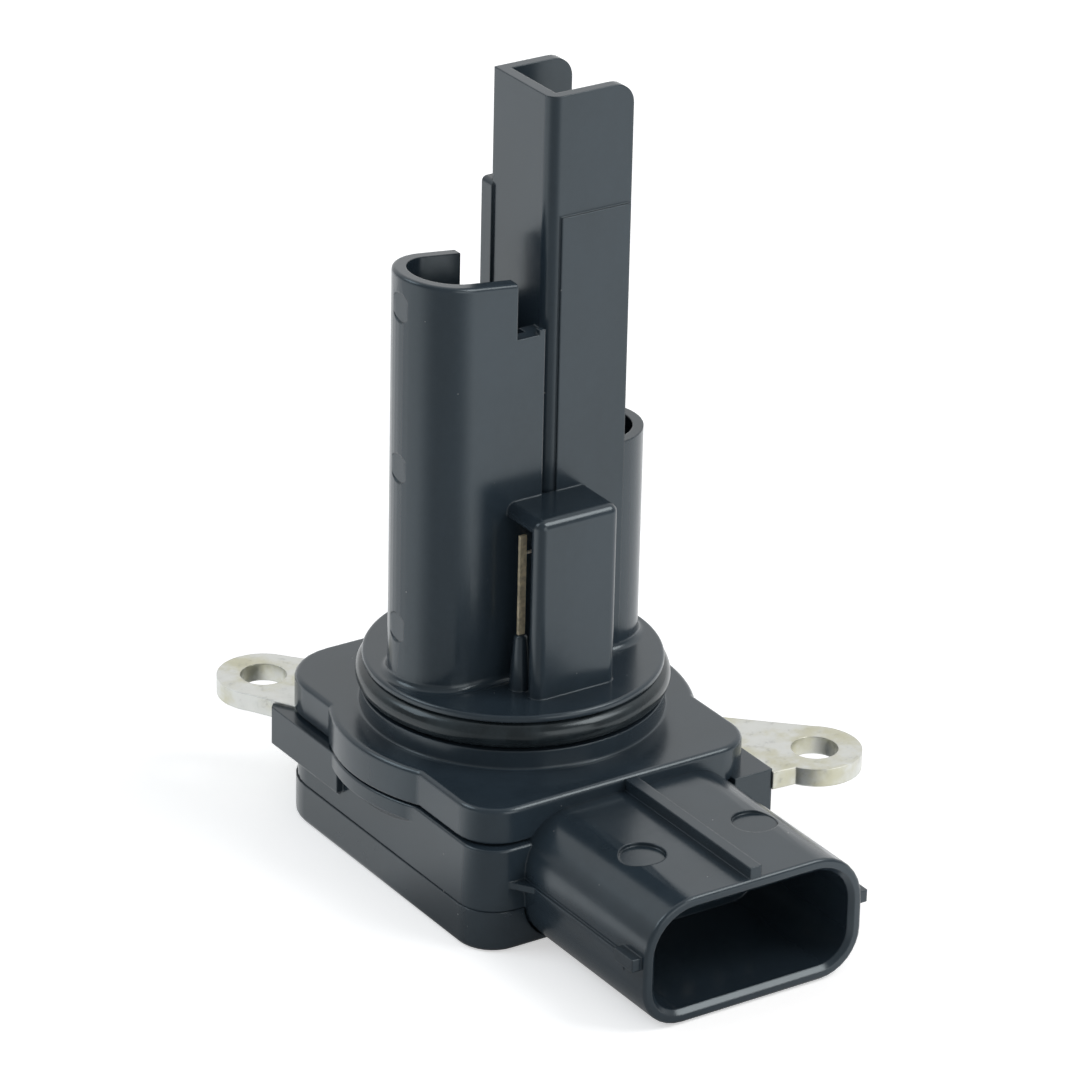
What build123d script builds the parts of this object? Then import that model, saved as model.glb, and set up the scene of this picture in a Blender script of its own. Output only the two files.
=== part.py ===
from build123d import *
import os

os.makedirs("parts", exist_ok=True)

# Plug-in mass airflow sensor, in millimetres. The probe stands along +Z, the connector points to -Y.
# The origin is on the axis of the round neck, at the top face of the flange.

# Depth by which joined solids reach into one another, and a length that clears any solid when cutting
sink = 0.2
clear = 40.0

# Flange of the probe body: a rounded rectangle with a round lobe at each long side
flange_w = 29.9
flange_l = 36.4
flange_t = 3.35
flange_corner_r = 4.0
flange_back_r = 6.0
lobe_margin = 2.9
flange_edge_r = 0.5

# Neck that plugs into the duct, with a groove for the O-ring
neck_margin = 1.3
neck_top = 5.25
neck_lip_t = 0.6
neck_lip_step = 0.15
neck_edge_r = 0.3
neck_root_r = 0.7
ring_section = 2.4
ring_squeeze_room = 0.05
ring_proud = 0.3
groove_room = 0.1

# Probe: a stadium in plan, split by a web into a closed duct on the left and an open channel on the right
probe_l = 25.4
probe_w = 9.8
duct_wall = 1.3
duct_top = 43.5
shell_wall = 1.0
shell_top = 26.0
web_x = -0.2
web_t = 1.1
blade_w = 9.2
blade_end_x = 8.5
blade_back_end_x = 7.4
blade_wall = 1.0
blade_top = 60.5
blade_corner_r = 1.2
blade_tip_r = 2.0
pad_top = 49.1
back_pad_top = 49.7
pad_x = 1.05
pad_end_x = 8.3
pad_corner_r = 0.5
back_rail_x = -1.1
front_wall_end_x = -0.5
front_groove_depth = 1.0
notch_bottom = 38.6
front_notch_x = -2.7
back_notch_x = -4.1
duct_floor = 7.0
probe_root_r = 0.7
scoop_top = 47.6
scoop_depth = 0.5
scoop_r = 2.6
scoop_y = -3.0
ejector_mark_r = 1.4
ejector_mark_depth = 0.15
ejector_mark_z = (10.6, 26.3, 41.8)

# Cage over the air temperature sensor, open at both sides
cage_x0 = -4.2
cage_x1 = 4.5
cage_front_y = -10.2
cage_wall = 1.2
cage_top = 22.8
cage_edge_r = 0.8
post_x = 3.8
post_y = -6.95
post_r = 0.95
post_top = 11.0
post_edge_r = 0.35

# Case with the electronics, below the flange, and the cover that closes it from below
case_x = 15.4
case_front = -19.0
case_back = 16.5
case_corner_r = 3.6
case_draft = 2.0
cover_overhang = 0.1
case_floor_t = 1.0
case_wall = 1.6
chamber_r = 2.4
split_z = -9.7
base_z = -13.7
cover_floor_t = 1.5
cover_edge_r = 0.6
lip_t = 1.0
lip_h = 1.0
lip_room = 0.15
bead_w = 0.8
bead_h = 0.7
notch_room = 0.15
left_boss = ((-13.0, 8.0), (-14.9, 8.8), (-16.1, 10.8), (-16.1, 16.4), (-14.6, 18.0), (-7.0, 18.0), (-7.0, 12.0))
right_boss = ((12.0, -18.8), (16.1, -18.8), (16.1, -7.0), (14.9, -5.5), (12.0, -5.5))
boss_bottom = -7.35
boss_edge_r = 0.6
boss_cover_t = 0.3
flange_room = 0.1

# Metal plate with the two screw ears, laid in the top of the case
plate_t = 1.75
ear_r = 4.4
ear_hole_r = 2.2
left_ear = (-13.5, 21.9)
right_ear = (22.2, -16.9)
plate_body = (-12.9, 12.9, -12.5, 13.5)
plate_body_r = 2.0
left_tab = ((-17.3, 19.8), (-10.2, 24.8), (-5.0, 18.6), (-5.0, 10.0), (-12.9, 10.0), (-14.4, 14.8))
right_tab_out = ((16.1, -19.0), (19.4, -19.3), (22.2, -16.9), (25.2, -13.75), (16.1, -5.23))
right_tab_in = ((16.1, -17.4), (16.1, -5.23), (12.0, -1.4), (8.0, -1.4), (8.0, -10.0))

# Block of the probe body that carries the pins down to the circuit board
pin_block = (-9.2, 5.2, -8.4, 3.2)
pin_block_r = 0.8
pin_block_room = 0.15
resin_w = 0.8

# Connector: a long rounded socket with side catches and a rib on top
socket_x = 0.9
socket_w = 23.2
socket_top = -1.25
socket_bottom = -13.5
socket_front = -38.0
socket_wall = 1.25
socket_depth = 14.0
socket_top_r = 5.2
socket_bottom_r = 4.2
socket_mouth_chamfer = 0.45
rib_w = 1.2
rib_h = 1.1
rib_end_room = 0.6
side_rail_z = -7.1
side_rail_h = 0.5
side_rail_out = 0.3
side_rail_end = -34.8
catch_l = 2.8
catch_h = 1.3
catch_out = 0.65
catch_front = -37.6
dimple_x = 6.0
dimple_y = -29.0
dimple_r = 2.1
dimple_depth = 0.35

# Connector terminals
terminal_count = 5
terminal_pitch = 3.3
terminal_w = 1.0
terminal_t = 0.64
terminal_z = -7.6
terminal_tip_y = -30.4
terminal_inner_y = -11.6
terminal_tip_chamfer = 0.25

# Circuit board and what is on it
board_x = 12.4
board_front = -13.6
board_back = 13.4
board_t = 0.8
board_corner_r = 0.8
stud_r = 1.1
stud_inset = 1.6
chip_box = (0.5, 8.5, 4.6, 12.0, 1.3)
transistor_box = (-11.0, -5.0, 5.4, 11.4, 1.7)
capacitor_size = (3.2, 2.5, 1.6)
capacitor_spots = ((10.0, -1.0), (10.0, -6.0))
moulding_bevel = 0.15
resistor_size = (2.0, 1.25, 0.55)
resistor_spots = ((-11.0, -4.0), (-11.0, -7.0), (-11.0, -10.0), (2.6, 0.6), (5.4, 0.6), (5.4, -3.0))

# Sensing elements
strip_w = 0.7
strip_t = 0.3
strip_top = 20.4
pin_r = 0.4
pin_below_board = 0.7
heater_x = -7.8
heater_z = 22.0
reference_x = -4.6
reference_z = 17.0
element_pin_y = 1.7
element_pin_above = 0.6
element_l = 2.0
heater_r = 0.35
reference_r = 0.45
element_wire_r = 0.12
bead_r = 0.75
bead_z = 18.6
bead_l = 2.6
bead_edge_r = 0.5
bead_wire_r = 0.15


def block(x0, x1, y0, y1, z0, z1):
    """A box between two corners."""
    return Pos((x0 + x1) / 2, (y0 + y1) / 2, (z0 + z1) / 2) * Box(x1 - x0, y1 - y0, z1 - z0)


def upright(sketch, z0, z1):
    """A sketch in plan, extruded from z0 to z1."""
    return extrude(Pos(0, 0, z0) * sketch, z1 - z0)


def rounded_plan(x0, x1, y0, y1, r):
    """A rounded rectangle in plan, between two corners."""
    return Pos((x0 + x1) / 2, (y0 + y1) / 2) * RectangleRounded(x1 - x0, y1 - y0, r)


def outline(points):
    """A closed polygon in plan."""
    return make_face(Polyline(*points, close=True))


def edges_at(solid, z):
    """The edges that lie flat at one height."""
    return solid.edges().filter_by(lambda e: abs(e.center().Z - z) < 1e-4 and e.bounding_box().size.Z < 1e-4)


# Sizes that follow from the ones above
half_w = probe_w / 2
nose_x = probe_l / 2
neck_r = nose_x + neck_margin
neck_lip_r = neck_r - neck_lip_step
lobe_r = neck_r + lobe_margin
plate_top = -flange_t
plate_bottom = plate_top - plate_t
case_floor = plate_bottom - case_floor_t
terminal_top = terminal_z + terminal_t / 2
board_top = terminal_top + board_t
ring_r = neck_r + ring_proud - ring_section / 2
ring_z = neck_top - neck_lip_t - groove_room - ring_section / 2
groove_floor_r = ring_r - ring_section / 2 - ring_squeeze_room
groove_bottom = ring_z - ring_section / 2 - groove_room
pins_low = terminal_top - pin_below_board


def flange_plan(room=0.0):
    """Plan of the flange: rounder corners at the back, and the two lobes."""
    plan = Rectangle(flange_w + 2 * room, flange_l + 2 * room)
    plan = fillet(plan.vertices().group_by(Axis.Y)[-1], flange_back_r + room)
    plan = fillet(plan.vertices().group_by(Axis.Y)[0], flange_corner_r + room)
    return plan + Circle(lobe_r + room)


def flange_solid():
    """Flange with its two lobes and a softened top edge."""
    plate = upright(flange_plan(), -flange_t, 0)
    return fillet(edges_at(plate, 0), flange_edge_r)


def neck_solid():
    """Neck turned about the probe's axis, with the groove and the lip over it."""
    neck = upright(Circle(neck_r), -sink, groove_bottom)
    return neck + upright(Circle(groove_floor_r), groove_bottom - sink, neck_top - sink)


def probe_root():
    """Lip of the neck and the foot of the probe, with the rounded root between them."""
    foot = upright(Circle(neck_lip_r), neck_top - neck_lip_t, neck_top)
    foot = fillet(edges_at(foot, neck_top), neck_edge_r)
    foot = foot + upright(SlotOverall(probe_l, probe_w), neck_top - sink, duct_floor)
    root = [e for e in edges_at(foot, neck_top) if e.length < 2 * neck_lip_r]
    return fillet(root, probe_root_r)


def duct_solid():
    """Left duct: half of the stadium, open at the top, notched on both sides."""
    outer = SlotOverall(probe_l, probe_w)
    inner = SlotOverall(probe_l - 2 * duct_wall, probe_w - 2 * duct_wall)
    duct = upright(outer, neck_top - sink, duct_top) - upright(inner, duct_floor, clear + clear)
    duct = duct - block(web_x, clear, -clear, clear, 0, clear + clear)
    duct = duct - block(front_notch_x, clear, -clear, 0, notch_bottom, clear + clear)
    duct = duct - block(back_notch_x, clear, 0, clear, notch_bottom, clear + clear)
    groove_y = -half_w + front_groove_depth
    return duct - block(front_wall_end_x, clear, -clear, groove_y, cage_top, clear + clear)


def duct_bridge():
    """Inner wall that closes the duct behind the groove beside the web."""
    y0 = -half_w + front_groove_depth
    return block(front_wall_end_x - duct_wall, web_x + sink, y0, y0 + duct_wall, neck_top - sink, notch_bottom)


def blade_solid():
    """Channel-shaped blade: the web and its two side walls, rounded at the web and at the tip."""
    half = blade_w / 2
    front = block(web_x, blade_end_x, -half, 0, neck_top - sink, blade_top)
    corner = front.edges().filter_by(Axis.Z).group_by(Axis.X)[0].sort_by(Axis.Y)[0]
    front = fillet(corner, blade_corner_r)
    back = block(web_x, blade_back_end_x, 0, half, neck_top - sink, blade_top)
    body = fillet(top_end_edge(front), blade_tip_r) + fillet(top_end_edge(back), blade_tip_r)
    channel = block(web_x + web_t, clear, blade_wall - half, half - blade_wall, duct_floor, clear + clear)
    return body - channel


def top_end_edge(solid):
    """The top edge at the +X end of a wall."""
    return solid.edges().filter_by(Axis.Y).group_by(Axis.X)[-1].group_by(Axis.Z)[-1]


def pads_solid():
    """Thicker lower part of the blade's side walls; the back one also covers the web's edge."""
    half = blade_w / 2 - blade_wall
    front = block(pad_x, pad_end_x, -half_w, -half, neck_top - sink, pad_top)
    back = block(back_rail_x, blade_back_end_x, half, half_w, neck_top - sink, back_pad_top)
    corner = back.edges().filter_by(Axis.Y).group_by(Axis.X)[0].group_by(Axis.Z)[-1]
    return front + fillet(corner, pad_corner_r)


def right_shell():
    """Low shell that closes the channel on the right, with its nose at +X."""
    outer = SlotOverall(probe_l, probe_w)
    inner = SlotOverall(probe_l - 2 * shell_wall, probe_w - 2 * shell_wall)
    shell = upright(outer, neck_top - sink, shell_top) - upright(inner, duct_floor, clear)
    return shell - block(-clear, pad_x, -clear, clear, 0, clear)


def cage_solid():
    """Cage over the temperature sensor: a front plate under a roof, open at both sides."""
    cage = block(cage_x0, cage_x1, cage_front_y, -half_w + sink, neck_top - sink, cage_top)
    front = cage.faces().sort_by(Axis.Y)[0]
    edges = front.edges().filter_by(lambda e: e.center().Z > neck_top)
    cage = fillet(edges, cage_edge_r)
    inside = block(-clear, clear, cage_front_y + cage_wall, -half_w, neck_top, cage_top - cage_wall)
    return cage - inside


def lead_posts():
    """Two round posts that hold the leads of the temperature sensor."""
    posts = [Pos(s * post_x, post_y) * upright(Circle(post_r), neck_top - sink, post_top) for s in (-1, 1)]
    posts = [fillet(edges_at(post, post_top), post_edge_r) for post in posts]
    return posts[0] + posts[1]


def nose_marks():
    """Shallow round marks of the mould's ejector pins on the nose of the duct."""
    mark = Cylinder(ejector_mark_r, 2 * sink, rotation=(0, 90, 0))
    x = -nose_x - sink + ejector_mark_depth
    return [Pos(x, 0, z) * mark for z in ejector_mark_z]


def web_scoop():
    """Shallow vertical scoop in the front edge of the web's outer face."""
    axis_x = web_x + scoop_depth - scoop_r
    return Pos(axis_x, scoop_y) * upright(Circle(scoop_r), notch_bottom, scoop_top)


def pin_block_plan(room=0.0):
    """Plan of the block that carries the pins, grown by a clearance."""
    x0, x1, y0, y1 = pin_block
    return rounded_plan(x0 - room, x1 + room, y0 - room, y1 + room, pin_block_r + room)


def strip_bar(side, z0, z1):
    """Flat lead of the temperature sensor, on one side of the cage."""
    x = side * post_x
    return block(x - strip_w / 2, x + strip_w / 2, post_y - strip_t / 2, post_y + strip_t / 2, z0, z1)


def element_pin(x, side, z1):
    """Round support pin of a sensing element, from below the board to z1."""
    return Pos(x, side * element_pin_y) * upright(Circle(pin_r), pins_low, z1)


def all_pins():
    """Every pin and lead that passes through the probe body and the board."""
    pins = [strip_bar(side, pins_low, strip_top) for side in (-1, 1)]
    for x, z in ((heater_x, heater_z), (reference_x, reference_z)):
        pins += [element_pin(x, side, z + element_pin_above) for side in (-1, 1)]
    return pins


def main_housing():
    """Moulded probe body: flange, neck, duct, blade, cage and the block for the pins."""
    body = flange_solid() + neck_solid() + probe_root() + duct_solid() + duct_bridge()
    body = body + blade_solid() + pads_solid() + right_shell()
    body = body + upright(pin_block_plan(), case_floor, plate_top + sink)
    body = body + cage_solid() + lead_posts()
    foot = [e for e in edges_at(body, 0) if e.geom_type == GeomType.CIRCLE and abs(e.radius - neck_r) < 1e-3]
    body = fillet(foot, neck_root_r)
    for cut in nose_marks() + [web_scoop()] + all_pins():
        body = body - cut
    return body


def socket_plan(inset=0.0):
    """Section of the connector in the XZ plane: large top corners, smaller bottom ones."""
    half = socket_w / 2 - inset
    top = socket_top - inset
    bottom = socket_bottom + inset
    face = outline([(-half, bottom), (half, bottom), (half, top), (-half, top)])
    upper = face.vertices().group_by(Axis.Y)[-1]
    face = fillet(upper, socket_top_r - inset)
    lower = [v for v in face.vertices() if abs(v.Y - bottom) < 1e-4]
    return fillet(lower, socket_bottom_r - inset)


def along_socket(section, y0, y1):
    """A section in the XZ plane, extruded along Y from y0 (front) to y1 (back)."""
    return extrude(socket_plane(y0) * section, -(y1 - y0))


def socket_solid():
    """Connector body with its rib, side rails, catches and dimples, before the mouth is cut."""
    body = along_socket(socket_plan(), socket_front, case_front + case_wall)
    body = body - block(-clear, clear, -flange_l / 2, 0, plate_top, clear)
    rib_top = socket_top + rib_h
    rib_y0 = socket_front + rib_end_room
    body = body + block(socket_x - rib_w / 2, socket_x + rib_w / 2, rib_y0, -flange_l / 2, socket_top - sink, rib_top)
    for side in (-1, 1):
        x = socket_x + side * (socket_w / 2 - sink)
        rail_x = x + side * (sink + side_rail_out)
        low = side_rail_z - side_rail_h / 2
        body = body + block(min(x, rail_x), max(x, rail_x), side_rail_end, case_front, low, low + side_rail_h)
        catch_x = x + side * (sink + catch_out)
        catch = block(min(x, catch_x), max(x, catch_x), catch_front, catch_front + catch_l, low, low + catch_h)
        body = body + catch
        spot = Pos(socket_x + side * dimple_x, dimple_y)
        body = body - spot * upright(Circle(dimple_r), socket_top - dimple_depth, clear)
    return body


def terminal_bar(index):
    """One flat terminal with a bevelled tip."""
    x = socket_x + (index - (terminal_count - 1) / 2) * terminal_pitch
    z0 = terminal_z - terminal_t / 2
    bar = block(x - terminal_w / 2, x + terminal_w / 2, terminal_tip_y, terminal_inner_y, z0, z0 + terminal_t)
    return chamfer(bar.faces().sort_by(Axis.Y)[0].edges(), terminal_tip_chamfer)


def case_plan(grow=0.0):
    """Outer plan of the case at its open side, grown a little for the cover."""
    x = case_x + grow
    return rounded_plan(-x, x, case_front - grow, case_back + grow, case_corner_r)


def chamber_plan(inset=0.0):
    """Plan of the chamber for the circuit board."""
    x = case_x - case_wall - inset
    front = case_front + 2 * case_wall + inset
    return rounded_plan(-x, x, front, case_back - case_wall - inset, chamber_r)


def plate_plan(hole_r):
    """Plan of the metal plate: body, two tabs with round ears, screw holes and the window for the pins."""
    plan = rounded_plan(*plate_body, plate_body_r) + outline(left_tab)
    plan = plan + outline(right_tab_out) + outline(right_tab_in)
    plan = plan + Pos(*left_ear) * Circle(ear_r) + Pos(*right_ear) * Circle(ear_r)
    if hole_r:
        plan = plan - Pos(*left_ear) * Circle(hole_r) - Pos(*right_ear) * Circle(hole_r)
        plan = plan - pin_block_plan(resin_w)
    return plan


def mounting_plate():
    """Stamped metal plate with two screw ears."""
    return upright(plate_plan(ear_hole_r), plate_bottom, plate_top)


def connector_case():
    """Moulded case: electronics chamber open to the cover, corner bosses and the connector."""
    case = extrude(Pos(0, 0, split_z) * case_plan(), plate_top - split_z, taper=case_draft)
    for boss in (left_boss, right_boss):
        solid = upright(outline(boss), boss_bottom, plate_top + boss_cover_t)
        outer = solid.edges().filter_by(Axis.Z).sort_by(lambda e: -abs(e.center().X))[0:2]
        case = case + fillet(outer, boss_edge_r)
    case = case + socket_solid()
    case = case - upright(chamber_plan(), -clear, case_floor)
    case = case - upright(plate_plan(0), plate_bottom, plate_top)
    case = case - upright(flange_plan(flange_room), plate_top, 0)
    case = case - upright(pin_block_plan(pin_block_room), case_floor - sink, plate_top)
    for x in (-board_x + stud_inset, board_x - stud_inset):
        for y in (board_front + stud_inset, board_back - stud_inset):
            case = case + Pos(x, y) * upright(Circle(stud_r), board_top, case_floor + sink)
    mouth = along_socket(socket_plan(socket_wall), socket_front, socket_front + socket_depth)
    case = case - mouth - mouth_flare()
    for index in range(terminal_count):
        case = case - terminal_bar(index)
    return case


def socket_plane(y):
    """Plane across the socket, at one place along it."""
    return Plane(origin=(socket_x, y, 0), x_dir=(1, 0, 0), z_dir=(0, -1, 0))


def mouth_flare():
    """Bevel around the mouth's inner edge."""
    wide = socket_plane(socket_front) * socket_plan(socket_wall - socket_mouth_chamfer)
    narrow = socket_plane(socket_front + socket_mouth_chamfer) * socket_plan(socket_wall)
    return loft([wide, narrow])


def back_cover():
    """Cover under the case: a shallow tray with a locating lip and a groove for the adhesive."""
    cover = upright(case_plan(cover_overhang), base_z, split_z)
    cover = fillet(edges_at(cover, base_z), cover_edge_r)
    lip = chamber_plan(lip_room)
    cover = cover + upright(lip, split_z - sink, split_z + lip_h)
    cover = cover - upright(chamber_plan(lip_room + lip_t), base_z + cover_floor_t, 0)
    cover = cover - adhesive_ring()
    back = case_front + case_wall + notch_room
    return cover - along_socket(socket_plan(-notch_room), socket_front, back)


def adhesive_ring():
    """Bead of adhesive between the cover's rim and the case."""
    inset = (case_wall - bead_w) / 2
    x = case_x - inset
    outer = rounded_plan(-x, x, case_front + case_wall + inset, case_back - inset, chamber_r + sink)
    x = x - bead_w
    front = case_front + case_wall + inset + bead_w
    inner = rounded_plan(-x, x, front, case_back - inset - bead_w, chamber_r - bead_w + sink)
    return upright(outer - inner, split_z - bead_h, split_z)


def pin_resin():
    """Potting resin between the pin block and the metal plate."""
    return upright(pin_block_plan(resin_w) - pin_block_plan(), plate_bottom, plate_top)


def o_ring():
    """Rubber ring in the neck's groove."""
    return Pos(0, 0, ring_z) * Torus(ring_r, ring_section / 2)


def circuit_board():
    """Board under the case floor, with holes for the pins."""
    board = upright(rounded_plan(-board_x, board_x, board_front, board_back, board_corner_r), terminal_top, board_top)
    for pin in all_pins():
        board = board - pin
    return board


def board_part(box):
    """A moulded component on the underside of the board, from its plan and its height."""
    x0, x1, y0, y1, height = box
    part = block(x0, x1, y0, y1, terminal_top - height, terminal_top)
    return chamfer(part.faces().sort_by(Axis.Z)[0].edges(), moulding_bevel)


def chip_at(size, spot):
    """A small chip component centred on a spot."""
    length, width, height = size
    x, y = spot
    return block(x - length / 2, x + length / 2, y - width / 2, y + width / 2, terminal_top - height, terminal_top)


def sensing_element(x, z, radius):
    """Wound element with its two fine wires, held between two pins."""
    core = Cylinder(radius, element_l, rotation=(90, 0, 0))
    wire = Cylinder(element_wire_r, 2 * (element_pin_y - pin_r), rotation=(90, 0, 0))
    return Pos(x, 0, z) * (core + wire)


def thermistor_bead():
    """Glass bead of the air temperature sensor with its two wires."""
    body = Cylinder(bead_r, bead_l, rotation=(0, 90, 0))
    body = fillet(body.edges(), bead_edge_r)
    wire = Cylinder(bead_wire_r, 2 * (post_x - strip_w / 2), rotation=(0, 90, 0))
    return Pos(0, post_y, bead_z) * (body + wire)


def build():
    """Every piece by its name."""
    parts = {
        "main_housing": main_housing(),
        "connector_case": connector_case(),
        "back_cover": back_cover(),
        "mounting_plate": mounting_plate(),
        "o_ring": o_ring(),
        "cover_adhesive": adhesive_ring(),
        "pin_resin": pin_resin(),
        "circuit_board": circuit_board(),
        "signal_chip": board_part(chip_box),
        "power_transistor": board_part(transistor_box),
        "chip_resistors": Compound(children=[chip_at(resistor_size, spot) for spot in resistor_spots]),
        "heater_element": sensing_element(heater_x, heater_z, heater_r),
        "reference_element": sensing_element(reference_x, reference_z, reference_r),
        "thermistor_bead": thermistor_bead(),
    }
    for number, spot in enumerate(capacitor_spots, start=1):
        parts[f"capacitor_{number}"] = chip_at(capacitor_size, spot)
    for index in range(terminal_count):
        parts[f"connector_terminal_{index + 1}"] = terminal_bar(index)
    for number, side in enumerate((-1, 1), start=1):
        parts[f"thermistor_lead_{number}"] = strip_bar(side, pins_low, strip_top)
        parts[f"heater_pin_{number}"] = element_pin(heater_x, side, heater_z + element_pin_above)
        parts[f"reference_pin_{number}"] = element_pin(reference_x, side, reference_z + element_pin_above)
    return parts


for name, solid in build().items():
    export_step(solid, f"parts/{name}.step")
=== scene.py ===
import math

import bmesh
import bpy
from bpy.props import FloatProperty, FloatVectorProperty, PointerProperty
from mathutils import Matrix, Vector


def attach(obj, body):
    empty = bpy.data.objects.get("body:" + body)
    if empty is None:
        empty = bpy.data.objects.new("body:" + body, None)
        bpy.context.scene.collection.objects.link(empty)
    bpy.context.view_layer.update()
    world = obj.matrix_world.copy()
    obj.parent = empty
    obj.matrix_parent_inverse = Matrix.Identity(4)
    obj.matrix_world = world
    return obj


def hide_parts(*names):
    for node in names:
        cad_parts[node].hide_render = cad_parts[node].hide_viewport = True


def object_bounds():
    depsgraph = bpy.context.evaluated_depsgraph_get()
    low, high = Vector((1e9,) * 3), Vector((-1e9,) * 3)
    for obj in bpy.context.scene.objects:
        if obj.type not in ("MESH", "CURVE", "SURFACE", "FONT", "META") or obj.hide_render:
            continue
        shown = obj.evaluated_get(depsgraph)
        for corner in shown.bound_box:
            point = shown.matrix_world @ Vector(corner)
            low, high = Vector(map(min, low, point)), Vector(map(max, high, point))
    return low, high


bl_info = {
    "name": "Airflow sensor looks",
    "version": (1, 0, 0),
    "blender": (4, 5, 0),
    "location": "3D View > Sidebar > Sensor",
    "description": "Shapes, finishes and stage for a plug-in mass airflow sensor",
    "category": "Object",
}

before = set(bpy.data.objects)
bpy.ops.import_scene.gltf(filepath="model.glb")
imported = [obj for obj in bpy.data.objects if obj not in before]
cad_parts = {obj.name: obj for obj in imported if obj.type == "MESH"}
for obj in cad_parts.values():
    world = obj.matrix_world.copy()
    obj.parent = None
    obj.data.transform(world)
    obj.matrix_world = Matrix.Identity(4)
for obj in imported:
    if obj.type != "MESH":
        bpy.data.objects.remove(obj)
cad_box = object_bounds()

MM = 0.001


def colour_property(name, description, default):
    return FloatVectorProperty(
        name=name, description=description, default=default, size=3, min=0, max=1, subtype="COLOR"
    )


def length_property(name, description, default):
    return FloatProperty(
        name=name, description=description, default=default, precision=5, subtype="DISTANCE", unit="LENGTH"
    )


def factor_property(name, description, default):
    return FloatProperty(name=name, description=description, default=default, min=0, max=1, subtype="FACTOR")


def angle_property(name, description, default):
    return FloatProperty(
        name=name, description=description, default=math.radians(default), subtype="ANGLE", unit="ROTATION"
    )


class ProbeSettings(bpy.types.PropertyGroup):
    flange_width: length_property("Flange width", "Width of the flange's plate", 29.9 * MM)
    flange_length: length_property("Flange length", "Length of the flange's plate", 36.4 * MM)
    flange_thickness: length_property("Flange thickness", "Thickness of the flange", 3.35 * MM)
    flange_front_radius: length_property("Front corners", "Radius of the flange's front corners", 4.0 * MM)
    flange_back_radius: length_property("Back corners", "Radius of the flange's back corners", 6.0 * MM)
    lobe_radius: length_property("Lobe radius", "Radius of the flange's two side lobes", 16.9 * MM)
    neck_radius: length_property("Neck radius", "Radius of the round neck", 14.0 * MM)
    neck_top: length_property("Neck top", "Height of the neck over the flange", 5.25 * MM)
    foot_length: length_property("Foot length", "Length of the probe's foot", 25.4 * MM)
    foot_width: length_property("Foot width", "Width of the probe's foot", 9.8 * MM)
    duct_wall: length_property("Duct wall", "Thickness of the duct's wall", 1.3 * MM)
    duct_floor: length_property("Duct floor", "Height of the duct's floor", 7.0 * MM)
    rim_low: length_property("Low rim", "Height of the duct's rim beside the web", 43.4 * MM)
    rim_high: length_property("High rim", "Height of the duct's rim at its nose", 44.9 * MM)
    notch_bottom: length_property("Notch bottom", "Height of the bottom of the rim's notches", 38.45 * MM)
    web_x: length_property("Web place", "Place of the blade's web beside the axis", -0.2 * MM)
    web_thickness: length_property("Web thickness", "Thickness of the blade's web", 1.1 * MM)
    blade_width: length_property("Blade width", "Width of the channel-shaped blade", 9.2 * MM)
    blade_top: length_property("Blade top", "Height of the blade's tip", cad_box[1][2])
    pad_top: length_property("Pad top", "Height of the thicker front wall", 49.1 * MM)
    bar_top: length_property("Bar top", "Height of the low bar at the back", 49.7 * MM)
    shell_wall: length_property("Shell wall", "Thickness of the low shell", 1.0 * MM)
    shell_top: length_property("Shell top", "Height of the low shell", 26.0 * MM)
    cage_front: length_property("Cage front", "Place of the cage's front face", -10.2 * MM)
    cage_top: length_property("Cage top", "Height of the cage's roof", 22.8 * MM)
    post_x: length_property("Post place", "Distance of the leads' posts from the middle", 3.8 * MM)


class CaseSettings(bpy.types.PropertyGroup):
    width: length_property("Width", "Width of the case", 30.8 * MM)
    front: length_property("Front", "Place of the case's front face", -19.0 * MM)
    back: length_property("Back", "Place of the case's back face", 16.5 * MM)
    front_radius: length_property("Front corners", "Radius of the case's front corners", 3.6 * MM)
    back_radius: length_property("Back corners", "Radius of the case's back corners", 5.5 * MM)
    base: length_property("Base", "Height of the cover's underside", cad_box[0][2])
    split: length_property("Split", "Height of the joint between case and cover", -9.7 * MM)
    rim_top: length_property("Rim top", "Height of the rim under the flange", -3.65 * MM)
    chamber_top: length_property("Chamber top", "Height of the roof over the circuit board", -6.1 * MM)
    socket_x: length_property("Socket place", "Place of the connector's middle", 0.9 * MM)
    socket_width: length_property("Socket width", "Width of the connector", 23.2 * MM)
    socket_top: length_property("Socket top", "Height of the connector's top", -1.25 * MM)
    socket_bottom: length_property("Socket bottom", "Height of the connector's underside", -13.5 * MM)
    socket_front: length_property("Socket front", "Place of the connector's mouth", cad_box[0][1])
    terminal_pitch: length_property("Terminal pitch", "Distance between two terminals", 3.3 * MM)
    terminal_tip: length_property("Terminal tip", "Place of the terminals' tips", -28.3 * MM)


class PlasticSettings(bpy.types.PropertyGroup):
    colour: colour_property("Colour", "Colour of the filled plastic", (0.021, 0.032, 0.043))
    # Paler tone laid on rounded edges: partly rubbed wear, partly a painted highlight
    wear_and_sheen: colour_property("Bloom", "Paler tone of rubbed or dusty plastic", (0.085, 0.095, 0.105))
    speck: colour_property("Speck", "Colour of the dust specks", (0.42, 0.42, 0.40))
    roughness: factor_property("Roughness", "Roughness of the moulded skin", 0.21)
    edge_radius: length_property("Edge radius", "Radius of the small edges", 0.22 * MM)
    grain_size: length_property("Grain size", "Size of the grains in the moulded skin", 0.22 * MM)
    grain_depth: length_property("Grain depth", "Depth of the grains", 0.006 * MM)
    wave_depth: length_property("Wave depth", "Depth of the slow waves in the skin", 0.02 * MM)
    dust: factor_property("Dust", "How much fine dust lies on the plastic", 0.5)


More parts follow.
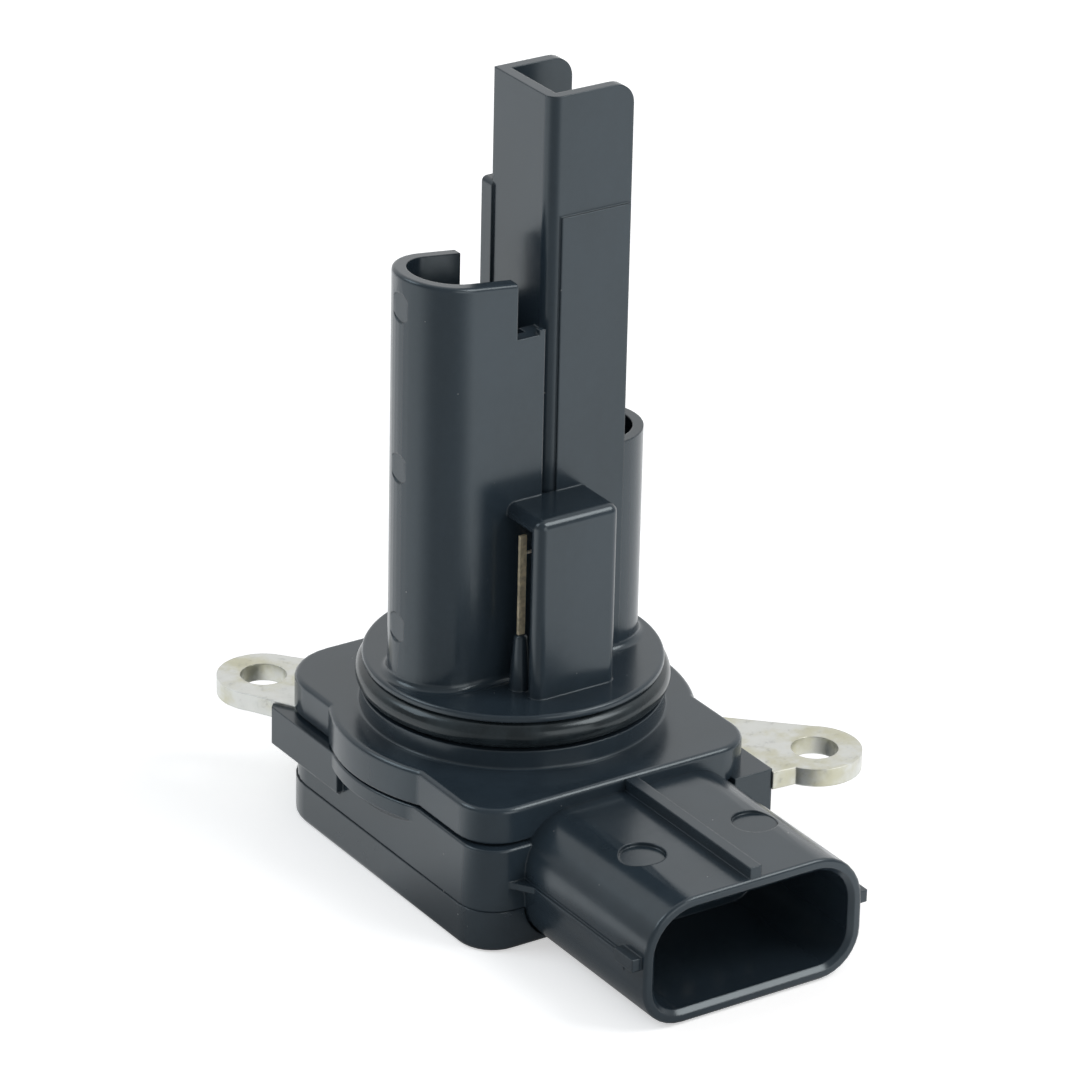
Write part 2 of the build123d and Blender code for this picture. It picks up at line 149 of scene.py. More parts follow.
class MetalSettings(bpy.types.PropertyGroup):
    plating: colour_property("Plating", "Colour of the zinc plating", (0.69, 0.70, 0.67))
    tint: colour_property("Tint", "Yellow tint of the plating's thin places", (0.58, 0.57, 0.44))
    stain: colour_property("Stain", "Grey handling marks", (0.30, 0.31, 0.30))
    roughness: factor_property("Roughness", "Roughness of the plating", 0.38)
    edge_radius: length_property("Edge radius", "Radius of the plate's sheared edges", 0.18 * MM)
    lead: colour_property("Lead", "Colour of the golden leads", (0.80, 0.70, 0.50))
    terminal: colour_property("Terminal", "Colour of the tinned terminals", (0.60, 0.52, 0.44))
    pin: colour_property("Pin", "Colour of the support pins", (0.62, 0.61, 0.58))


class SealSettings(bpy.types.PropertyGroup):
    ring_radius: length_property("Ring radius", "Radius of the ring's middle line", 13.15 * MM)
    ring_height: length_property("Ring height", "Height of the ring's middle line", 3.25 * MM)
    ring_section: length_property("Ring section", "Thickness of the rubber ring", 2.6 * MM)
    rubber: colour_property("Rubber", "Colour of the rubber ring", (0.013, 0.018, 0.021))
    roughness: factor_property("Roughness", "Roughness of the rubber", 0.20)
    adhesive: colour_property("Adhesive", "Colour of the cover's adhesive", (0.030, 0.030, 0.031))
    resin: colour_property("Resin", "Colour of the potting resin", (0.022, 0.020, 0.018))
    lint: colour_property("Lint", "Colour of the lint on the rubber", (0.35, 0.35, 0.34))


class CircuitSettings(bpy.types.PropertyGroup):
    board: colour_property("Board", "Colour of the solder resist", (0.020, 0.120, 0.045))
    chip: colour_property("Chip", "Colour of the moulded chips", (0.018, 0.018, 0.019))
    ceramic: colour_property("Ceramic", "Colour of the fired capacitors", (0.38, 0.25, 0.15))
    element: colour_property("Element", "Colour of the glazed sensing elements", (0.55, 0.50, 0.42))


class StageSettings(bpy.types.PropertyGroup):
    azimuth: angle_property("Azimuth", "Camera's angle round the upright axis", -33.672)
    elevation: angle_property("Elevation", "Camera's angle above the floor", 25.257)
    roll: angle_property("Roll", "Camera's turn about its own axis", 1.294)
    distance: length_property("Distance", "Camera's distance from the origin", 0.549332)
    right: length_property("Right", "How far the origin lies right of the picture's middle", -0.002563)
    up: length_property("Up", "How far the origin lies above the picture's middle", -0.014642)
    lens: FloatProperty(name="Lens", description="Focal length in millimetres", default=199.51, unit="CAMERA")
    floor: colour_property("Floor", "Colour of the pale floor", (0.92, 0.92, 0.92))
    floor_glow: factor_property("Floor glow", "How much the floor shows by itself", 0.50)
    floor_mirror: factor_property("Floor mirror", "How bright the floor's near side is mirrored", 0.32)
    wall_mirror: factor_property("Wall mirror", "How bright the room's dim side is mirrored", 0.3)
    ambient: factor_property("Ambient", "Strength of the light from all round", 0.42)


# Softboxes: name, place in metres, side in metres, power in watts and colour
LAMPS = (
    ("left_softbox", (-0.66, 0.42, 0.74), 0.5, 2.2, (0.82, 0.92, 1.0)),
    ("right_softbox", (0.52, -0.50, 0.80), 0.5, 3.8, (1.0, 1.0, 1.0)),
    ("front_softbox", (0.15, -1.10, 0.25), 0.7, 2.2, (1.0, 1.0, 1.0)),
)
LAMP_AIM = (0, 0, 25 * MM)

# Directions of the room's window and of the floor's near side
WINDOW_SIDE = (0.50, 0.753, 0.427)
FLOOR_FRONT = (-0.553, -0.833, 0.0)

# Faint blue of the moulded skin's and the rubber's mirror images
COOL_GLOSS = (0.88, 0.97, 1.0, 1.0)


class Graph:
    """Node graph whose inputs take sockets and plain values alike."""

    def __init__(self, tree):
        self.tree = tree
        tree.nodes.clear()

    def feed(self, socket, value):
        if isinstance(value, bpy.types.NodeSocket):
            self.tree.links.new(value, socket)
        else:
            socket.default_value = value

    def add(self, kind, inputs=None, **settings):
        node = self.tree.nodes.new(kind)
        for key, value in settings.items():
            setattr(node, key, value)
        for key, value in (inputs or {}).items():
            self.feed(node.inputs[key], value)
        return node

    def math(self, operation, a, b=0.0, clamp=False):
        return self.add("ShaderNodeMath", {0: a, 1: b}, operation=operation, use_clamp=clamp).outputs[0]

    def dot(self, a, b):
        return self.add("ShaderNodeVectorMath", {0: a, 1: b}, operation="DOT_PRODUCT").outputs["Value"]

    def span(self, value, low, high, to_low=0.0, to_high=1.0):
        """A smooth step from one span to another."""
        inputs = {"Value": value, "From Min": low, "From Max": high, "To Min": to_low, "To Max": to_high}
        return self.add("ShaderNodeMapRange", inputs, interpolation_type="SMOOTHSTEP").outputs["Result"]


class Finish(Graph):
    """Node graph of one finish."""

    def __init__(self, name):
        self.material = bpy.data.materials.new(name)
        self.material.use_nodes = True
        super().__init__(self.material.node_tree)
        self.coords = self.add("ShaderNodeTexCoord").outputs["Object"]

    def stretched(self, factors):
        """Object coordinates, stretched along the axes."""
        return self.add("ShaderNodeMapping", {"Vector": self.coords, "Scale": factors}).outputs[0]

    def noise(self, size, detail=3.0, rough=0.5, vector=None):
        """Fractal noise whose features are about one size across."""
        inputs = {"Vector": vector or self.coords, "Scale": 1 / size, "Detail": detail, "Roughness": rough}
        return self.add("ShaderNodeTexNoise", inputs).outputs["Fac"]

    def cells(self, size, feature="F1"):
        """Distance to points that lie about one size apart, or to the borders between them."""
        inputs = {"Vector": self.coords, "Scale": 1 / size}
        return self.add("ShaderNodeTexVoronoi", inputs, feature=feature).outputs["Distance"]

    def blend(self, factor, a, b):
        """Mix of two colours."""
        node = self.add("ShaderNodeMix", data_type="RGBA")
        self.feed(node.inputs["Factor"], factor)
        self.feed(node.inputs["A"], a)
        self.feed(node.inputs["B"], b)
        return node.outputs["Result"]

    def rounded(self, radius, samples=6):
        """Normal that rounds sharp edges."""
        return self.add("ShaderNodeBevel", {"Radius": radius}, samples=samples).outputs["Normal"]

    def edges(self, normal):
        """Mask that grows to 1 on rounded edges and is 0 on plain faces."""
        gain = 3.0
        true = self.add("ShaderNodeNewGeometry").outputs["Normal"]
        return self.math("MULTIPLY", self.math("SUBTRACT", 1.0, self.dot(normal, true)), gain, clamp=True)

    def specks(self, apart, patch, few, many, amount):
        """Mask of small specks about one distance apart, which lie in patches."""
        dots = self.span(self.cells(apart), 0.05, 0.02)
        return self.math("MULTIPLY", dots, self.span(self.noise(patch, 2), few, many, 0.0, amount))

    def relief(self, height, depth, strength=1.0, normal=None):
        """Normal that shows a height as relief of a depth."""
        inputs = {"Height": height, "Distance": depth, "Strength": strength}
        if normal:
            inputs["Normal"] = normal
        return self.add("ShaderNodeBump", inputs).outputs["Normal"]

    def surface(self, colour, roughness, normal=None, **constants):
        """Closes the graph with one shader; the constants are set on its own sockets."""
        inputs = {"Base Color": colour, "Roughness": roughness}
        if normal:
            inputs["Normal"] = normal
        shader = self.add("ShaderNodeBsdfPrincipled", inputs)
        for key, value in constants.items():
            shader.inputs[key.replace("_", " ")].default_value = value
        out = self.add("ShaderNodeOutputMaterial")
        self.feed(out.inputs["Surface"], shader.outputs["BSDF"])
        return self.material


def rgba(colour):
    """The colour, fully opaque."""
    return (*colour, 1.0)


def shade(colour, factor):
    """The same colour, lighter or darker."""
    return (*[min(1.0, c * factor) for c in colour], 1.0)


def dress(material, *names):
    """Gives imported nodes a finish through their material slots."""
    for name in names:
        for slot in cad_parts[name].material_slots:
            slot.material = material


def moulded_plastic(name, settings, tone=1.0, polish=0.0):
    """Dark glass-filled plastic: flow marks, a fine moulded grain and dust; rounded edges turn paler, partly
    rubbed wear and partly a painted highlight. A tone below 1 gives a darker copy of the plastic, a painted
    shade.
    """
    f = Finish(name)
    edge_normal = f.rounded(settings.edge_radius)
    flow = f.noise(9 * MM, 4, 0.55, f.stretched((1.0, 1.0, 0.45)))
    mottle = f.noise(0.9 * MM, 3, 0.6)
    fibres = f.noise(0.35 * MM, 2, 0.5, f.stretched((1.0, 1.0, 0.3)))
    dark, pale, fibre_tone = [shade(settings.colour, k * tone) for k in (0.88, 1.14, 1.5)]
    colour = f.blend(f.span(flow, 0.3, 0.7), dark, pale)
    colour = f.blend(f.span(mottle, 0.35, 0.8, 0.0, 0.12), colour, fibre_tone)
    # Rounded edges blend towards the paler tone: partly rubbed wear, partly a painted highlight
    colour = f.blend(f.math("MULTIPLY", f.edges(edge_normal), 0.12), colour, rgba(settings.wear_and_sheen))
    speck = f.specks(1.9 * MM, 6 * MM, 0.52, 0.6, settings.dust)
    colour = f.blend(speck, colour, rgba(settings.speck))
    base = settings.roughness - polish
    rough = f.span(f.noise(2.2 * MM, 4, 0.6), 0.3, 0.75, base - 0.02, base + 0.03)
    rough = f.math("ADD", rough, f.math("MULTIPLY", speck, 0.3))
    grain = f.noise(settings.grain_size, 3, 0.6)
    height = f.math("ADD", grain, f.math("MULTIPLY", fibres, 0.6))
    normal = f.relief(height, settings.grain_depth, 0.35, edge_normal)
    normal = f.relief(f.noise(5 * MM, 2, 0.4), settings.wave_depth, 0.4, normal)
    return f.surface(colour, rough, normal, IOR=1.6, Specular_Tint=COOL_GLOSS)


def plated_steel(settings):
    """Pale zinc plating: cloudy tint, rolling marks, handling scratches and a painted highlight along the
    sheared edges.
    """
    f = Finish("plated_steel")
    edge_normal = f.rounded(settings.edge_radius)
    cloud = f.noise(4.5 * MM, 4, 0.6)
    spots = f.noise(1.1 * MM, 3, 0.6)
    scratch = f.noise(0.18 * MM, 2, 0.5, f.stretched((1.0, 0.06, 1.0)))
    colour = f.blend(f.span(cloud, 0.42, 0.66), rgba(settings.plating), rgba(settings.tint))
    colour = f.blend(f.span(spots, 0.58, 0.8, 0.0, 0.5), colour, rgba(settings.stain))
    # Plating turns paler on the rounded edges: a painted highlight
    colour = f.blend(f.math("MULTIPLY", f.edges(edge_normal), 0.6), colour, shade(settings.plating, 1.2))
    rough = f.span(spots, 0.3, 0.8, settings.roughness - 0.06, settings.roughness + 0.14)
    height = f.math("ADD", f.math("MULTIPLY", scratch, 0.5), f.noise(0.3 * MM, 3, 0.6))
    normal = f.relief(height, 0.008 * MM, 0.7, edge_normal)
    return f.surface(colour, rough, normal, Metallic=0.85)


def drawn_metal(name, colour, roughness, metallic=1.0):
    """Drawn or stamped small metal with lengthwise marks and dull patches."""
    f = Finish(name)
    patches = f.noise(0.8 * MM, 3, 0.6)
    marks = f.noise(0.1 * MM, 2, 0.5, f.stretched((1.0, 1.0, 0.1)))
    tone = f.blend(f.span(patches, 0.35, 0.7), shade(colour, 0.75), shade(colour, 1.15))
    rough = f.span(patches, 0.3, 0.7, roughness - 0.05, roughness + 0.12)
    normal = f.relief(marks, 0.004 * MM, 0.6, f.rounded(0.06 * MM, 4))
    return f.surface(tone, rough, normal, Metallic=metallic)


def soft_black(name, colour, lint, roughness, grain):
    """Rubber, adhesive or resin with a faint grain, a paler cloudy tone and lint."""
    f = Finish(name)
    cloud = f.noise(2.5 * MM, 3, 0.6)
    tone = f.blend(f.span(cloud, 0.3, 0.7), shade(colour, 0.8), shade(colour, 1.5))
    tone = f.blend(f.specks(1.3 * MM, 4 * MM, 0.5, 0.6, 0.5), tone, rgba(lint))
    rough = f.span(cloud, 0.3, 0.7, roughness - 0.04, roughness + 0.06)
    normal = f.relief(f.noise(grain, 3, 0.6), 0.006 * MM, 0.5)
    return f.surface(tone, rough, normal, Specular_Tint=COOL_GLOSS)


def printed_board(settings):
    """Green solder resist over tracks, with the paler weave of the board showing through."""
    f = Finish("printed_board")
    tracks = f.span(f.cells(1.6 * MM, "DISTANCE_TO_EDGE"), 0.10, 0.14)
    weave = f.noise(0.25 * MM, 2, 0.5)
    colour = f.blend(tracks, shade(settings.board, 1.5), rgba(settings.board))
    colour = f.blend(f.span(weave, 0.4, 0.8, 0.0, 0.3), colour, shade(settings.board, 2.0))
    normal = f.relief(f.math("ADD", tracks, f.math("MULTIPLY", weave, 0.2)), 0.02 * MM, 0.5)
    return f.surface(colour, f.span(weave, 0.3, 0.7, 0.28, 0.4), normal)


def fired_body(name, colour, roughness):
    """Moulded or fired small body with a speckled skin."""
    f = Finish(name)
    speckle = f.noise(0.12 * MM, 3, 0.6)
    tone = f.blend(f.span(speckle, 0.35, 0.75), shade(colour, 0.75), shade(colour, 1.3))
    normal = f.relief(speckle, 0.008 * MM, 0.6, f.rounded(0.08 * MM, 4))
    return f.surface(tone, f.span(speckle, 0.3, 0.7, roughness - 0.05, roughness + 0.1), normal)


def arc(x, y, r, start, end, steps=8):
    """Points on an arc about a centre, between two angles in degrees."""
    turns = [math.radians(start + (end - start) * k / steps) for k in range(steps + 1)]
    return [(x + r * math.cos(t), y + r * math.sin(t)) for t in turns]


def rectangle(x0, x1, y0, y1, radii=(0, 0, 0, 0)):
    """Plan of a rectangle as a function of an inset. The radii start at the low corner and run round it."""
    smallest = 0.02

    def plan(inset):
        left, right, low, high = x0 + inset, x1 - inset, y0 + inset, y1 - inset
        corners = ((left, low), (right, low), (right, high), (left, high))
        points = []
        for (x, y), start, radius in zip(corners, (180, 270, 0, 90), radii):
            if radius:
                r = max(radius - inset, smallest)
                points += arc(x + (r if x == left else -r), y + (r if y == low else -r), r, start, start + 90)
            else:
                points.append((x, y))
        return points
    return plan


def disc(x, y, radius, steps=96):
    """Plan of a disc, as a function of an inset."""
    return lambda inset: arc(x, y, radius - inset, 0, 360, steps)[:-1]


def stadium(length, width):
    """Plan of a long shape with round ends, as a function of an inset."""
    def plan(inset):
        r, x, steps = width / 2 - inset, (length - width) / 2, 24
        return arc(x, 0, r, -90, 90, steps) + arc(-x, 0, r, 90, 270, steps)
    return plan


def polygon(*points):
    """Plan of a plain polygon, set in towards its middle by an inset."""
    sharpest = 0.3

    def plan(inset):
        inner = []
        for k, (x, y) in enumerate(points):
            (ax, ay), (bx, by) = points[k - 1], points[(k + 1) % len(points)]
            u, v = Vector((x - ax, y - ay)).normalized(), Vector((bx - x, by - y)).normalized()
            normal = Vector((-u.y - v.y, u.x + v.x)).normalized()
            reach = inset / max(normal.dot(Vector((-u.y, u.x))), sharpest)
            inner.append((x + normal.x * reach, y + normal.y * reach))
        return inner
    return plan


def layers(plan, z0, z1, low=0.0, high=0.0, low_steps=4, high_steps=4):
    """Rings of a prism whose end edges are rounded, or bevelled where the steps are 1."""
    rings = []
    for k in range(low_steps, -1, -1) if low else (0,):
        turn = math.radians(90 * k / low_steps)
        inset, z = low * (1 - math.cos(turn)), z0 + low * (1 - math.sin(turn))
        rings.append([(x, y, z) for x, y in plan(inset)])
    for k in range(high_steps + 1) if high else (0,):
        turn = math.radians(90 * k / high_steps)
        inset, z = high * (1 - math.cos(turn)), z1 - high * (1 - math.sin(turn))
        rings.append([(x, y, z) for x, y in plan(inset)])
    return rings


# Which coordinate of a ring's points becomes X, Y and Z
UP, ALONG_Y, ALONG_X = (0, 1, 2), (0, 2, 1), (2, 0, 1)


def linked_body(points, faces):
    """New object from points and faces, in the scene."""
    mesh = bpy.data.meshes.new("solid")
    mesh.from_pydata(points, [], faces)
    body = bpy.data.objects.new("solid", mesh)
    bpy.context.scene.collection.objects.link(body)
    return body


def solid(rings, axes=UP):
    """Closed mesh through rings of equally many points, in millimetres."""
    count = len(rings[0])
    points = [tuple(p[a] for a in axes) for ring in rings for p in ring]
    last = (len(rings) - 1) * count
    faces = [list(range(count)), list(range(last, last + count))]
    for start in range(0, last, count):
        for k in range(count):
            after = (k + 1) % count
            faces.append((start + k, start + after, start + count + after, start + count + k))
    body = linked_body(points, faces)
    shape = bmesh.new()
    shape.from_mesh(body.data)
    bmesh.ops.recalc_face_normals(shape, faces=shape.faces)
    shape.to_mesh(body.data)
    shape.free()
    return body


def prism(plan, z0, z1, axes=UP, **edges):
    """Solid over a plan between two heights, with rounded or bevelled ends."""
    return solid(layers(plan, z0, z1, **edges), axes)


def block(x0, x1, y0, y1, z0, z1):
    """A box between two corners."""
    return prism(rectangle(x0, x1, y0, y1), z0, z1)


def carved(solids, cuts=()):
    """One solid out of several, with others cut away."""
    body = solids[0]
    for operation, tools in (("UNION", solids[1:]), ("DIFFERENCE", cuts)):
        for tool in tools:
            step = body.modifiers.new(operation, "BOOLEAN")
            step.operation = operation
            step.object = tool
            step.solver = "EXACT"
    evaluated = body.evaluated_get(bpy.context.evaluated_depsgraph_get())
    mesh = bpy.data.meshes.new_from_object(evaluated)
    for used in (*solids, *cuts):
        bpy.data.objects.remove(used)
    result = bpy.data.objects.new("solid", mesh)
    bpy.context.scene.collection.objects.link(result)
    return result


def finished_piece(body, name, material, node):
    """Names a finished solid, smooths it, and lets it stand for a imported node."""
    mesh = body.data
    if not mesh.polygons:
        raise RuntimeError(f"{name} came out empty")
    body.name = mesh.name = name
    mesh.transform(Matrix.Scale(MM, 4))
    mesh.polygons.foreach_set("use_smooth", [True] * len(mesh.polygons))
    mesh.set_sharp_from_angle(angle=math.radians(30))
    mesh.materials.clear()
    mesh.materials.append(material)
    weighted = body.modifiers.new("weighted", "WEIGHTED_NORMAL")
    weighted.keep_sharp = True
    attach(body, "root")
    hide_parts(node)


class InMillimetres:
    """Reads the lengths of a settings group in millimetres."""

    def __init__(self, settings):
        self.settings = settings

    def __getattr__(self, name):
        return round(getattr(self.settings, name) / MM, 4)


def lengths(context, *groups):
    """Settings groups whose lengths read in millimetres."""
    return [InMillimetres(getattr(context.scene, f"sensor_{group}")) for group in groups]


# How far joined solids run into each other, and how far a cut reaches past the part, in millimetres
SINK, BEYOND = 0.2, 70.0

# Where the walls start inside the foot, where the channel starts right of the web, and the groove's depth
WALL_ROOT, CHANNEL_X, GROOVE_DEPTH = 5.0, 1.05, 1.0


def flange_plans(probe, inner=0.0):
    """Plans of the flange's plate and of the disc that makes its lobes."""
    x, y = probe.flange_width / 2 - inner, probe.flange_length / 2 - inner
    front, back = probe.flange_front_radius, probe.flange_back_radius
    return rectangle(-x, x, -y, y, (front, front, back, back)), disc(0, 0, probe.lobe_radius - inner)


def flange(probe):
    """Flange's plate and its lobes."""
    return [prism(plan, -probe.flange_thickness, 0, high=0.5) for plan in flange_plans(probe)]


def neck(probe, seal):
    """Neck with its groove and lip, turned about the upright axis."""
    radius, top = probe.neck_radius, probe.neck_top
    root, edge, lip_height = 0.3, 0.3, 0.6
    lip, half = radius - 0.15, seal.ring_section / 2
    low, floor = seal.ring_height - half - 0.1, seal.ring_radius - half - 0.05
    turns = (0, 0.4, 0.8, 1.2, math.pi / 2)
    corner = [(lip - edge * (1 - math.cos(t)), top - edge * (1 - math.sin(t))) for t in turns]
    profile = [(radius + root, -SINK), (radius + root, 0), (radius + 0.3 * root, 0.3 * root), (radius, root)]
    profile += [(radius, low), (floor, low), (floor, top - lip_height), (lip, top - lip_height), *corner]
    return solid([[(x, y, z) for x, y in disc(0, 0, r, 128)(0)] for r, z in profile])


def foot(probe):
    """Foot of the probe with the rounded root on the neck."""
    root, steps = 0.7, 6
    plan = stadium(probe.foot_length, probe.foot_width)
    rings = [[(x, y, probe.neck_top - SINK) for x, y in plan(-root)]]
    for k in range(steps + 1):
        turn = math.radians(90 * k / steps)
        grow, z = root * (1 - math.sin(turn)), probe.neck_top + root * (1 - math.cos(turn))
        rings.append([(x, y, z) for x, y in plan(-grow)])
    rings.append([(x, y, probe.duct_floor) for x, y in plan(0)])
    return solid(rings)


def duct(probe):
    """Closed duct with its sloping rim, its notches, its groove beside the web and the moulding marks."""
    half, nose, web = probe.foot_width / 2, probe.foot_length / 2, probe.web_x
    rim_edge, steps = 0.4, 4

    def outer(inset):
        r, x = half - inset, nose - half
        return [(web, half - inset)] + arc(-x, 0, r, 90, 270, 24) + [(web, inset - half)]

    def rim_z(x):
        return probe.rim_low + (probe.rim_high - probe.rim_low) * (web - x) / (web + nose)

    rings = [[(x, y, probe.neck_top - SINK) for x, y in outer(0)]]
    for k in range(steps + 1):
        turn = math.radians(90 * k / steps)
        inset, drop = rim_edge * (1 - math.cos(turn)), rim_edge * (1 - math.sin(turn))
        rings.append([(x, y, rim_z(x) - drop) for x, y in outer(inset)])
    bore = stadium(probe.foot_length - 2 * probe.duct_wall, probe.foot_width - 2 * probe.duct_wall)
    front_notch_x, back_notch_x, groove_x = -3.45, -4.1, -0.5
    cuts = [
        prism(bore, probe.duct_floor, BEYOND),
        block(front_notch_x, BEYOND, -BEYOND, 0, probe.notch_bottom, BEYOND),
        block(back_notch_x, BEYOND, 0, BEYOND, probe.notch_bottom, BEYOND),
        block(groove_x, BEYOND, -BEYOND, GROOVE_DEPTH - half, probe.cage_top, BEYOND),
    ]
    mark_radius, mark_depth, mark_heights = 1.4, 0.15, (10.6, 26.3, 41.8)
    for z in mark_heights:
        cuts.append(prism(disc(0, z, mark_radius, 40), -BEYOND, mark_depth - nose, ALONG_X))
    return carved([solid(rings)], cuts)


def duct_bridge(probe):
    """Wall between the duct and the web behind the groove, and the nub on the notch's bottom."""
    wall_left, wall_right, nub_left, nub_right = -1.8, 0.0, -1.1, -0.5
    nub_depth, nub_low, nub_high = 0.6, -0.25, 0.45
    face, bottom = -probe.foot_width / 2, probe.notch_bottom
    front = face + GROOVE_DEPTH
    wall = block(wall_left, wall_right, front, front + probe.duct_wall, WALL_ROOT, bottom)
    return [wall, block(nub_left, nub_right, face, face + nub_depth, bottom + nub_low, bottom + nub_high)]


def blade(probe):
    """Channel-shaped blade with rounded tips, its thicker front wall and the low bar at its back."""
    half, web, top = probe.blade_width / 2, probe.web_x, probe.blade_top
    wall, low, front_x, back_x = 1.0, WALL_ROOT, 8.5, 7.4
    tip = (0, 0, 2.0, 0)
    front = prism(rectangle(web, front_x, low, top, tip), -half, wall - half, ALONG_Y)
    back = prism(rectangle(web, back_x, low, top, tip), half - wall, half, ALONG_Y)
    spine = block(web, web + probe.web_thickness, -half, half, low, top)
    corner_r = 1.2
    edge = arc(web + corner_r, corner_r - half, corner_r, 270, 180)
    edge = [(web - 1, -half - 1), (web + corner_r, -half - 1), *edge, (web - 1, corner_r - half)]
    rounding = solid([[(x, y, z) for x, y in edge] for z in (low - 1, top + 1.5)])
    walls = carved([front, back, spine], [rounding])
    pad_short, pad_sink, bar_left, bar_back, bar_sink, bar_edge = 0.2, 0.1, -0.42, 6.0, 0.25, 0.5
    pad_right, pad_back = front_x - pad_short, pad_sink - half
    pad = block(CHANNEL_X, pad_right, -probe.foot_width / 2, pad_back, low, probe.pad_top)
    bar = rectangle(bar_left, back_x, low, probe.bar_top, (0, 0, 0, bar_edge))
    return [walls, pad, prism(bar, half - bar_sink, bar_back, ALONG_Y)]


def shell(probe):
    """Low shell that closes the channel on the right."""
    length, width, wall = probe.foot_length, probe.foot_width, probe.shell_wall
    inner = stadium(length - 2 * wall, width - 2 * wall)
    left = block(-BEYOND, CHANNEL_X, -BEYOND, BEYOND, 0, BEYOND)
    outer = prism(stadium(length, width), WALL_ROOT, probe.shell_top)
    return carved([outer], [prism(inner, probe.duct_floor, BEYOND), left])


def cage(probe):
    """Cage over the air temperature sensor, open at both sides, with the conical posts of its leads."""
    left, right, low, front, back = -4.2, 4.5, 3.0, probe.cage_front, -4.7
    edge, front_wall, back_wall, roof = 0.9, 1.2, 0.2, 1.2
    body = rectangle(left, right, low, probe.cage_top, (0, 0, edge, edge))
    body = prism(body, front, back, ALONG_Y, low=edge)
    inside_top = probe.cage_top - roof
    inside = block(-BEYOND, BEYOND, front + front_wall, back - back_wall, probe.neck_top, inside_top)
    post_y, post_profile = -6.95, ((1.05, WALL_ROOT), (0.62, 10.4), (0.42, 10.6))
    posts = []
    for x in (-probe.post_x, probe.post_x):
        posts.append(solid([[(px, py, z) for px, py in disc(x, post_y, r, 24)(0)] for r, z in post_profile]))
    return [carved([body], [inside]), *posts]


# Plan of the block that carries the pins, and its clearance in the case, in millimetres
PIN_BLOCK, PIN_BLOCK_ROOM = (-9.2, 5.2, -8.4, 3.2), 0.3


def housing(probe, seal, case):
    """Moulded probe body: flange, neck, duct, blade, shell, cage and the block for the pins."""
    pin_block = block(*PIN_BLOCK, case.chamber_top, SINK / 2 - probe.flange_thickness)
    parts = [*flange(probe), neck(probe, seal), foot(probe), duct(probe), *duct_bridge(probe)]
    return carved([*parts, *blade(probe), shell(probe), *cage(probe), pin_block])


# Plans of the bosses beside the ears, run round their left side, in millimetres
LEFT_BOSS = ((-7.0, 12.0), (-7.0, 18.0), (-14.4, 18.0), (-16.0, 16.2), (-16.0, 4.6), (-13.0, 4.6))
RIGHT_BOSS = ((12.0, -18.8), (16.1, -18.8), (16.1, -7.0), (14.9, -5.5), (12.0, -5.5))


def case_plan(case, room=0.0):
    """Plan of the case, grown by a room."""
    x, front, back = case.width / 2 + room, case.front - room, case.back + room
    radii = (case.front_radius, case.front_radius, case.back_radius, case.back_radius)
    return rectangle(-x, x, front, back, radii)


def socket_section(case):
    """Section of the connector, as a function of an inset."""
    x, half = case.socket_x, case.socket_width / 2
    low_r, high_r = 4.2, 5.2
    return rectangle(x - half, x + half, case.socket_bottom, case.socket_top, (low_r, low_r, high_r, high_r))


def case_body(probe, case):
    """Body of the case, which tapers upwards, with the collar and the seat under the flange."""
    split, top, edge, steps, draft_angle = case.split, case.rim_top, 0.25, 3, math.radians(2.0)
    draft = math.tan(draft_angle) * (top - split)
    plan = case_plan(case)
    rings = [[(x, y, split) for x, y in plan(0)]]
    for k in range(steps + 1):
        turn = math.radians(90 * k / steps)
        inset, z = draft + edge * (1 - math.cos(turn)), top - edge * (1 - math.sin(turn))
        rings.append([(x, y, z) for x, y in plan(inset)])
    height, bevel, seam = 2.6, 1.1, 0.6
    ends = {"low": bevel, "low_steps": 1, "high": edge}
    collar = [prism(plan, top - height, top, **ends) for plan in flange_plans(probe)]
    seat_top = SINK / 2 - probe.flange_thickness
    seat = [prism(plan, top - SINK, seat_top) for plan in flange_plans(probe, seam)]
    return [solid(rings), *collar, *seat]


def bosses(case):
    """Bosses of the case around the roots of the ears, bevelled below."""
    low, bevel, right_top = -8.4, 1.0, -3.05
    left = prism(polygon(*LEFT_BOSS), low, case.rim_top, low=bevel, low_steps=1)
    return [left, prism(polygon(*RIGHT_BOSS), low, right_top, low=bevel, low_steps=1)]


def socket_side(case, side):
    """Rail with its sloping underside, gusset and catch on one side of the connector."""
    wall = case.socket_x + side * case.socket_width / 2
    root, rail_top, rail_edge, rail_low = wall - side * SINK, -6.85, -7.45, -9.4
    rail_face, gusset_tip, catch_face = [wall + side * reach for reach in (0.3, 1.7, 0.95)]
    rail_end, gusset_front, case_front = -34.8, -21.6, case.front + SINK
    catch_front, catch_low, catch_high = case.socket_front + 0.6, -7.3, -6.1
    rail = [(root, rail_top), (rail_face, rail_top), (rail_face, rail_edge), (root, rail_low)]
    rail = solid([[(u, v, y) for u, v in rail] for y in (rail_end, case_front)], ALONG_Y)
    gusset = [(root, case_front), (gusset_tip, case_front), (root, gusset_front)]
    gusset = solid([[(u, v, z) for u, v in gusset] for z in (rail_edge, rail_top)])
    low, high = sorted((root, catch_face))
    return [rail, gusset, block(low, high, catch_front, rail_end + SINK, catch_low, catch_high)]


